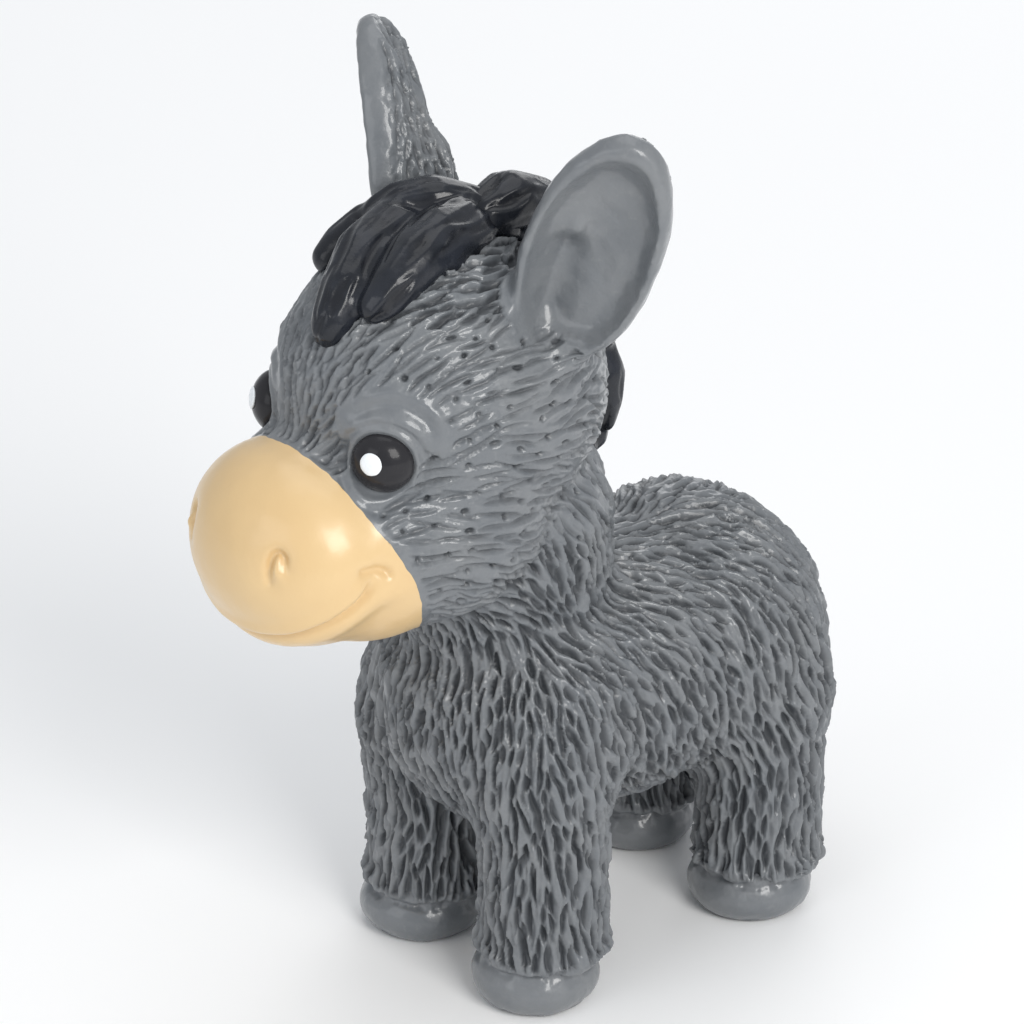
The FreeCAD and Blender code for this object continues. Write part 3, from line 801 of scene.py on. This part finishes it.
def mane_locks():
    """Overlapping tongues of hair down the back of the neck, to the left and right by turns."""
    route = MANE_ROUTE
    locks = [tuple((0, y, z, 3.2) for y, z in route), tuple((0, y, z, 3.9) for y, z in MANE_ROOT)]
    locks.append(((1.2, -8.0, 128.2, 4.2), (1.0, -3.5, 129.2, 4.9), (0.6, 1.5, 127.0, 4.6)))
    for k in range(len(route) - 1):
        sway = 1 if k % 2 else -1
        (y0, z0), (y1, z1) = route[k], route[k + 1]
        y2, z2 = route[k + 2] if k + 2 < len(route) else (y1, z1 - 3.5)
        locks.append(
            (
                (0.3 * sway, y0, z0, 4.0),
                (1.5 * sway, (y0 + y1) / 2 + 0.6, (z0 + z1) / 2 + 0.5, 4.0),
                (2.5 * sway, y1 + 0.6, z1 + 0.2, 3.2),
                (2.9 * sway, (y1 + y2) / 2 + 0.4, (z1 + z2) / 2, 2.1),
                (2.7 * sway, 0.35 * y1 + 0.65 * y2 + 0.1, 0.35 * z1 + 0.65 * z2, 1.2),
            )
        )
    return locks


def ball_chain(name, locks):
    """The locks as overlapping balls in one mesh, and the straight runs between the balls' places."""
    mesh = bmesh.new()
    runs = []
    for lock in locks:
        lock = np.array(lock, float)
        for a, b in zip(lock[:-1], lock[1:]):
            count = max(2, int(np.linalg.norm(b[:3] - a[:3]) / BALLS_APART))
            for k in range(count + 1):
                px, py, pz, size = a + (b - a) * k / count
                place = Matrix.Translation(Vector((px, py, pz)) * MM)
                bmesh.ops.create_icosphere(mesh, subdivisions=2, radius=size * MM, matrix=place)
            runs.append((a, b))
    piece = add_object(name, bpy.data.meshes.new(name))
    mesh.to_mesh(piece.data)
    mesh.free()
    return piece, runs


def hair(name, locks, grain, strand, replaced):
    """Locks of hair melted into one and cut along their runs; strand scales the cuts."""
    piece, runs = ball_chain(name, locks)
    piece = melt_into_one(piece, name, grain)
    set_points(piece, relax(points_of(piece), edges_of(piece), 8, 0.8))
    points, normals = points_of(piece), normals_of(piece)
    ways = np.zeros_like(points)
    for a, b in runs:
        size, middle = (a[3] + b[3]) / 2, (a[:3] + b[:3]) / 2
        pull = 1 / np.square(np.maximum(far_from(points, middle) - size, 0.3) + 0.5) ** 2
        ways += pull[:, None] * unit(b[:3] - a[:3])
    pelt = pelt_of(points, normals, flattened(ways, normals))
    everywhere = np.ones(len(points), bool)
    rng = np.random.default_rng(len(points))
    furrows = Cuts(
        {"rest": (7 * strand, 14 * strand)}, {"rest": (1.2 * strand, 2.2 * strand)},
        {"rest": (0.2 * strand, 0.5 * strand)}, (0, 0.8), (0, 2.2), 81, 12000, 0.5 * strand, 0.35,
    )
    lines = Cuts(
        {"rest": (4 * strand, 9 * strand)}, {"rest": (0.5, 0.8)}, {"rest": (0.15, 0.35)},
        (0, 1.0), (0, 5), 83, 12000, 0.3, 0.2,
    )
    furrow, swell = make_cuts(pelt, rng, everywhere, furrows)
    line, _ = make_cuts(pelt, rng, everywhere, lines)
    move = relax(-furrow + 0.8 * swell - line, edges_of(piece), 2, 0.5)[:, 0]
    set_points(piece, points + normals * move[:, None])
    # groove: cut depth, which the black finish paints darker as painted shade
    add_attribute(piece, "groove", "FLOAT", "value", np.clip((furrow + line) / 0.9, 0, 1))
    pick(piece)
    bpy.ops.object.shade_smooth()
    finish_piece(piece, BLACK, "latex_black", replaced)


# ---------------------------------------------------------------- eyes


def button(name, middle, out, round_half, high, low, seed):
    """A domed disc, its edge a little uneven as paint is; high in front and low behind its middle."""
    bpy.ops.object.select_all(action="DESELECT")
    bpy.ops.mesh.primitive_uv_sphere_add(segments=96, ring_count=48, radius=MM)
    piece = bpy.context.object
    piece.name = piece.data.name = name
    x, y, z = points_of(piece).T
    angle = np.arctan2(y, x)
    rng = np.random.default_rng(seed)
    waves = (rng.uniform(-0.005, 0.005) * np.cos(k * angle + rng.uniform(0, 6.28)) for k in range(2, 9))
    edge = 1 + sum(waves)
    tall = np.where(z > 0, high, low) * np.sign(z) * np.abs(z) ** 1.15
    shaped = np.stack([x * round_half * edge, y * round_half * edge, tall], 1)
    turn = np.array(Vector(unit(out)).to_track_quat("Z", "Y").to_matrix())
    set_points(piece, shaped @ turn.T + middle)
    pick(piece)
    bpy.ops.object.shade_smooth()
    return piece


def eyes():
    """Two domed eyes, each with a white spot on it."""
    middle = EYE + 1.0 * EYE_OUT
    aside = SPOT - (middle + EYE_TALL * EYE_OUT)
    aside -= (aside @ EYE_OUT) * EYE_OUT
    high = math.sqrt(1 - (np.linalg.norm(aside) / EYE_ROUND) ** 2)
    out = unit(EYE_OUT * high / EYE_TALL + aside / EYE_ROUND**2)
    spot = middle + aside + EYE_TALL * EYE_OUT * high - SPOT_SUNK * out
    for label, turn in (("left", 1), ("right", -1)):
        flip = np.array([turn, 1, 1])
        dome = button(label + "_eye_dome", middle * flip, EYE_OUT * flip, EYE_ROUND, EYE_TALL, EYE_DEEP, 91)
        finish_piece(dome, EYE_BLACK, "eye_black", label + "_eye")
        glint = button(label + "_eye_spot", spot * flip, out * flip, SPOT_ROUND, SPOT_TALL, SPOT_DEEP, 92 + turn)
        finish_piece(glint, GLINT_WHITE, "glint_white", label + "_glint")


# ---------------------------------------------------------------- finishes


class Wire:
    """A socket that can be reckoned with like a number."""

    def __init__(self, finish, socket):
        self.finish, self.socket = finish, socket

    def reckon(self, operation, *values):
        return self.finish.node("ShaderNodeMath", {"operation": operation}, dict(enumerate(values)))

    def __add__(self, other):
        return self.reckon("ADD", self, other)

    def __sub__(self, other):
        return self.reckon("SUBTRACT", self, other)

    def __rsub__(self, other):
        return self.reckon("SUBTRACT", other, self)

    def __mul__(self, other):
        return self.reckon("MULTIPLY", self, other)

    __radd__, __rmul__ = __add__, __mul__


class Finish:
    """One material and the way its nodes are made."""

    def __init__(self, name):
        self.material = bpy.data.materials.new(name)
        self.material.use_nodes = True
        self.tree = self.material.node_tree
        self.tree.nodes.clear()

    def node(self, kind, settings=None, sockets=None, out=0):
        """A node: its settings first, then its sockets' values or wires. Returns one of its outputs."""
        made = self.tree.nodes.new(kind)
        for key, value in (settings or {}).items():
            setattr(made, key, value)
        for key, value in (sockets or {}).items():
            if isinstance(value, Wire):
                self.tree.links.new(value.socket, made.inputs[key])
            else:
                made.inputs[key].default_value = value
        return Wire(self, made.outputs[out]) if len(made.outputs) else made

    def noise(self, size, detail, roughness, seed=0.0):
        """Smooth noise from 0 to 1 with lumps about size mm across."""
        place = self.node("ShaderNodeTexCoord", out="Object")
        shift = (seed, seed * 0.7, seed * 0.3)
        place = self.node("ShaderNodeVectorMath", {"operation": "ADD"}, {0: place, 1: shift})
        sockets = {"Vector": place, "Scale": 1 / (size * MM), "Detail": detail, "Roughness": roughness}
        return self.node("ShaderNodeTexNoise", sockets=sockets)

    def groove(self):
        """How deep the surface is cut, from 0 to 1."""
        return self.node("ShaderNodeAttribute", {"attribute_name": "groove"}, out="Fac")

    def ranged(self, value, low, high, to_low, to_high):
        """The value eased from one range into another."""
        return self.node(
            "ShaderNodeMapRange",
            {"interpolation_type": "SMOOTHSTEP"},
            {"Value": value, "From Min": low, "From Max": high, "To Min": to_low, "To Max": to_high},
        )

    def spread(self, noise, low, high):
        """A noise spread over a range from low to high."""
        return self.ranged(noise, 0.3, 0.7, low, high)

    def mix(self, share, first, second):
        """One colour into another."""
        sockets = {0: share, 6: first, 7: second}
        return self.node("ShaderNodeMix", {"data_type": "RGBA"}, sockets, out=2)

    def bumped(self, height, far, normal=None):
        """A Bump node: height from 0 to 1 stands far mm proud."""
        sockets = {"Height": height, "Distance": far * MM, "Strength": 1.0}
        if normal is not None:
            sockets["Normal"] = normal
        return self.node("ShaderNodeBump", sockets=sockets)

    def close(self, **sockets):
        """The Principled shader with these sockets, and the output."""
        named = {key.replace("_", " "): value for key, value in sockets.items()}
        shader = self.node("ShaderNodeBsdfPrincipled", sockets=named)
        self.node("ShaderNodeOutputMaterial", sockets={"Surface": shader})
        return self.material


# where each noise is read, so that a material's noises differ
FLECK_SEED, SPECK_SEED, WEAR_SEED, LUMP_SEED, FINE_SEED = 3.1, 4.0, 5.7, 2.3, 1.3


def grey_latex():
    """Moulded grey latex: painted shade darkens it where it is cut, with paler flecks, its gloss uneven."""
    f = Finish("grey_latex")
    groove = f.groove()
    base = f.mix(f.spread(f.noise(9, 4, 0.6), 0, 1), (0.138, 0.150, 0.163, 1), (0.172, 0.182, 0.192, 1))
    fleck = f.ranged(f.noise(1.6, 3, 0.6, FLECK_SEED), 0.55, 0.75, 0, 0.35)
    base = f.mix(fleck, base, (0.220, 0.228, 0.232, 1))
    # painted shade: the cuts are coloured darker by their depth
    base = f.mix(f.ranged(groove, 0.12, 0.80, 0, 1), base, (0.052, 0.057, 0.064, 1))
    rough = f.spread(f.noise(3, 3, 0.6, WEAR_SEED), 0.32, 0.50)
    fine = f.bumped(f.noise(0.55, 3, 0.6, FINE_SEED), 0.045)
    lumps = f.bumped(f.noise(1.9, 2, 0.5, LUMP_SEED), 0.16, fine)
    return f.close(
        Base_Color=base, Roughness=rough + groove * 0.25, Normal=lumps, Coat_Weight=0.60 - groove * 0.60,
        Coat_Roughness=0.12, IOR=1.5, Specular_IOR_Level=0.5,
    )


def cream_latex():
    """Smooth cream latex with a soft sheen, faint warm clouds and specks, and cuts painted darker and warmer as
    painted shade.
    """
    f = Finish("cream_latex")
    base = f.mix(f.spread(f.noise(16, 3, 0.5), 0, 1), (0.695, 0.485, 0.243, 1), (0.73, 0.52, 0.267, 1))
    speck = f.ranged(f.noise(1.1, 2, 0.5, SPECK_SEED), 0.66, 0.8, 0, 0.25)
    base = f.mix(speck, base, (0.68, 0.46, 0.23, 1))
    # painted shade: darker, warmer colour in the cuts
    base = f.mix(f.ranged(f.groove(), 0.1, 0.9, 0, 0.7), base, (0.55, 0.33, 0.15, 1))
    rough = f.spread(f.noise(4, 3, 0.6, WEAR_SEED), 0.30, 0.38)
    fine = f.bumped(f.noise(0.5, 3, 0.6, FINE_SEED), 0.018)
    lumps = f.bumped(f.noise(3.5, 2, 0.5, LUMP_SEED), 0.035, fine)
    return f.close(
        Base_Color=base, Roughness=rough, Normal=lumps, Coat_Weight=0.35, Coat_Roughness=0.18, IOR=1.5
    )


def black_latex():
    """Glossy black paint over the hair, painted darker in its cuts as painted shade."""
    f = Finish("black_latex")
    clouds = f.ranged(f.noise(5, 3, 0.6), 0.35, 0.7, 0, 1)
    base = f.mix(clouds, (0.011, 0.013, 0.018, 1), (0.020, 0.023, 0.031, 1))
    # painted shade: deeper black in the cuts
    base = f.mix(f.groove(), base, (0.008, 0.008, 0.010, 1))
    rough = f.spread(f.noise(2.5, 3, 0.6, WEAR_SEED), 0.20, 0.36)
    lumps = f.bumped(f.noise(1.8, 3, 0.55, LUMP_SEED), 0.10)
    return f.close(
        Base_Color=base, Roughness=rough, Normal=lumps, Coat_Weight=0.22, Coat_Roughness=0.09,
        IOR=1.45, Specular_IOR_Level=0.35,
    )


def small_part(name, clouds, colours, wear, rough, grain, height, **sockets):
    """A plain material: clouds, wear and grain are noises by size, detail and roughness."""
    f = Finish(name)
    return f.close(
        Base_Color=f.mix(f.noise(*clouds), *colours),
        Roughness=f.spread(f.noise(*wear, WEAR_SEED), *rough),
        Normal=f.bumped(f.noise(*grain, LUMP_SEED), height),
        **sockets,
    )


def eye_black():
    """Deep glossy black."""
    return small_part(
        "eye_black", (3, 2, 0.5), ((0.020, 0.020, 0.023, 1), (0.032, 0.031, 0.034, 1)),
        (1.5, 3, 0.6), (0.16, 0.28), (1.2, 2, 0.5), 0.03,
        Coat_Weight=0.15, Coat_Roughness=0.06, IOR=1.45, Specular_IOR_Level=0.18,
    )


def glint_white():
    """White paint with a faint sheen."""
    return small_part(
        "glint_white", (1.2, 2, 0.5), ((0.80, 0.84, 0.87, 1), (0.90, 0.93, 0.95, 1)),
        (0.8, 2, 0.5), (0.22, 0.36), (0.7, 2, 0.5), 0.03, Coat_Weight=0.4, Coat_Roughness=0.1, IOR=1.5,
    )


def squeaker_plastic():
    """Milky moulded plastic with a fine grain."""
    return small_part(
        "squeaker_plastic", (2.5, 3, 0.5), ((0.60, 0.60, 0.57, 1), (0.70, 0.70, 0.67, 1)),
        (1.0, 3, 0.6), (0.30, 0.50), (0.5, 3, 0.6), 0.02, Coat_Weight=0.1, Coat_Roughness=0.2, IOR=1.5,
    )


def reed_film():
    """Thin amber film, slightly clouded."""
    return small_part(
        "reed_film", (1.2, 3, 0.5), ((0.42, 0.30, 0.14, 1), (0.52, 0.40, 0.22, 1)),
        (0.6, 3, 0.6), (0.20, 0.40), (0.4, 3, 0.6), 0.01, Coat_Weight=0.2, Coat_Roughness=0.15, IOR=1.5,
    )


def studio_floor():
    """Matt near white."""
    f = Finish("studio_floor")
    base = f.mix(f.noise(120, 2, 0.5), (0.95, 0.95, 0.95, 1), (0.96, 0.96, 0.96, 1))
    return f.close(Base_Color=base, Roughness=0.9, IOR=1.4)


# ---------------------------------------------------------------- making

add_camera()
floor = add_studio()

GREY, CREAM, BLACK = grey_latex(), cream_latex(), black_latex()
EYE_BLACK, GLINT_WHITE = eye_black(), glint_white()
PLASTIC, REED_FILM = squeaker_plastic(), reed_film()
paint(floor, studio_floor())

coat = coat_form()
sculpt(coat)
comb_coat(coat)
part_coat(coat)
hair("forelock_hair", FORELOCK, 0.36, 1.0, "forelock")
hair("mane_hair", mane_locks(), 0.40, 1.0, "mane")
hair("tail_hair", TUFT, 0.30, 0.7, "tail_tuft")
eyes()

for name in ("squeaker_cup", "squeaker_cap", "reed_block", "reed_wedge"):
    paint(NODES[name], PLASTIC)
paint(NODES["reed"], REED_FILM)
